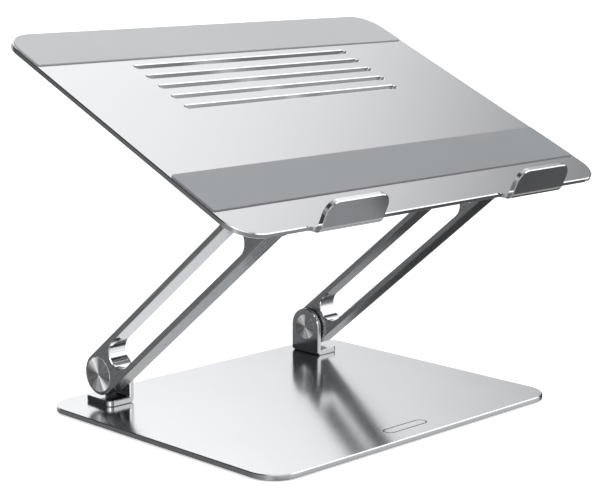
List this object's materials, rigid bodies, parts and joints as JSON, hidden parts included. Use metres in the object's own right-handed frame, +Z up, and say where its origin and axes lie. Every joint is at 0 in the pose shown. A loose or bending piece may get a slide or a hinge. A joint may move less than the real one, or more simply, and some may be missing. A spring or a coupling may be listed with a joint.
{
  "type": "laptop stand",
  "caption": "Folding laptop stand: flat base plate, slotted arms on friction pivots, and a slotted tilting tray with silicone strips and turned-up front lips.",
  "frame": {"origin": "on the desk, at the middle of the floor area that the opened stand covers", "axes": "+Z up, +Y towards the rear, where the tray is highest, +X to the user's right"},
  "size_m": [0.3, 0.2218, 0.2264],
  "materials": {
    "anodised_aluminium": "bead-blasted and clear anodised, with bright cut bevels",
    "spun_aluminium": "face-turned with fine concentric lines",
    "grey_silicone": "matt moulded silicone",
    "black_nylon": "moulded",
    "steel": "zinc plated",
    "bronze": "sintered bearing bronze"
  },
  "bodies": {
    "base": {"base_plate": "anodised_aluminium", "foot_strip_front": "grey_silicone", "foot_strip_rear": "grey_silicone", "base_bracket_screws": "steel", "base_bracket_left": "anodised_aluminium", "base_pivot_bolt_left": "steel", "base_thrust_washer_left": "steel", "base_disc_springs_left": "steel", "base_lock_nut_left": "steel", "base_friction_washer_left": "black_nylon", "base_ear_cap_left": "spun_aluminium", "base_bracket_right": "anodised_aluminium", "base_pivot_bolt_right": "steel", "base_thrust_washer_right": "steel", "base_disc_springs_right": "steel", "base_lock_nut_right": "steel", "base_friction_washer_right": "black_nylon", "base_ear_cap_right": "spun_aluminium"},
    "arms": {"arm_left": "anodised_aluminium", "arm_right": "anodised_aluminium", "base_arm_cap_left": "spun_aluminium", "base_arm_bush_left": "bronze", "base_arm_cap_right": "spun_aluminium", "base_arm_bush_right": "bronze", "tray_arm_cap_left": "spun_aluminium", "tray_arm_bush_left": "bronze", "tray_arm_cap_right": "spun_aluminium", "tray_arm_bush_right": "bronze"},
    "tray": {"tray_plate": "anodised_aluminium", "tray_strip_front": "grey_silicone", "tray_strip_rear": "grey_silicone", "lip_pad_left": "grey_silicone", "lip_pad_right": "grey_silicone", "tray_bracket_screws": "steel", "tray_bracket_left": "anodised_aluminium", "tray_pivot_bolt_left": "steel", "tray_thrust_washer_left": "steel", "tray_disc_springs_left": "steel", "tray_lock_nut_left": "steel", "tray_friction_washer_left": "black_nylon", "tray_ear_cap_left": "spun_aluminium", "tray_bracket_right": "anodised_aluminium", "tray_pivot_bolt_right": "steel", "tray_thrust_washer_right": "steel", "tray_disc_springs_right": "steel", "tray_lock_nut_right": "steel", "tray_friction_washer_right": "black_nylon", "tray_ear_cap_right": "spun_aluminium"}
  },
  "joints": [
    {"name": "arm_fold", "type": "hinge", "parent": "base", "child": "arms", "pos_m": [0, 0.08838, 0.0218], "axis": [-1, 0, 0], "range_deg": [-39, 51]},
    {"name": "tray_tilt", "type": "hinge", "parent": "arms", "child": "tray", "pos_m": [0, -0.05151, 0.13508], "axis": [1, 0, 0], "range_deg": [-63, 27]}
  ]
}
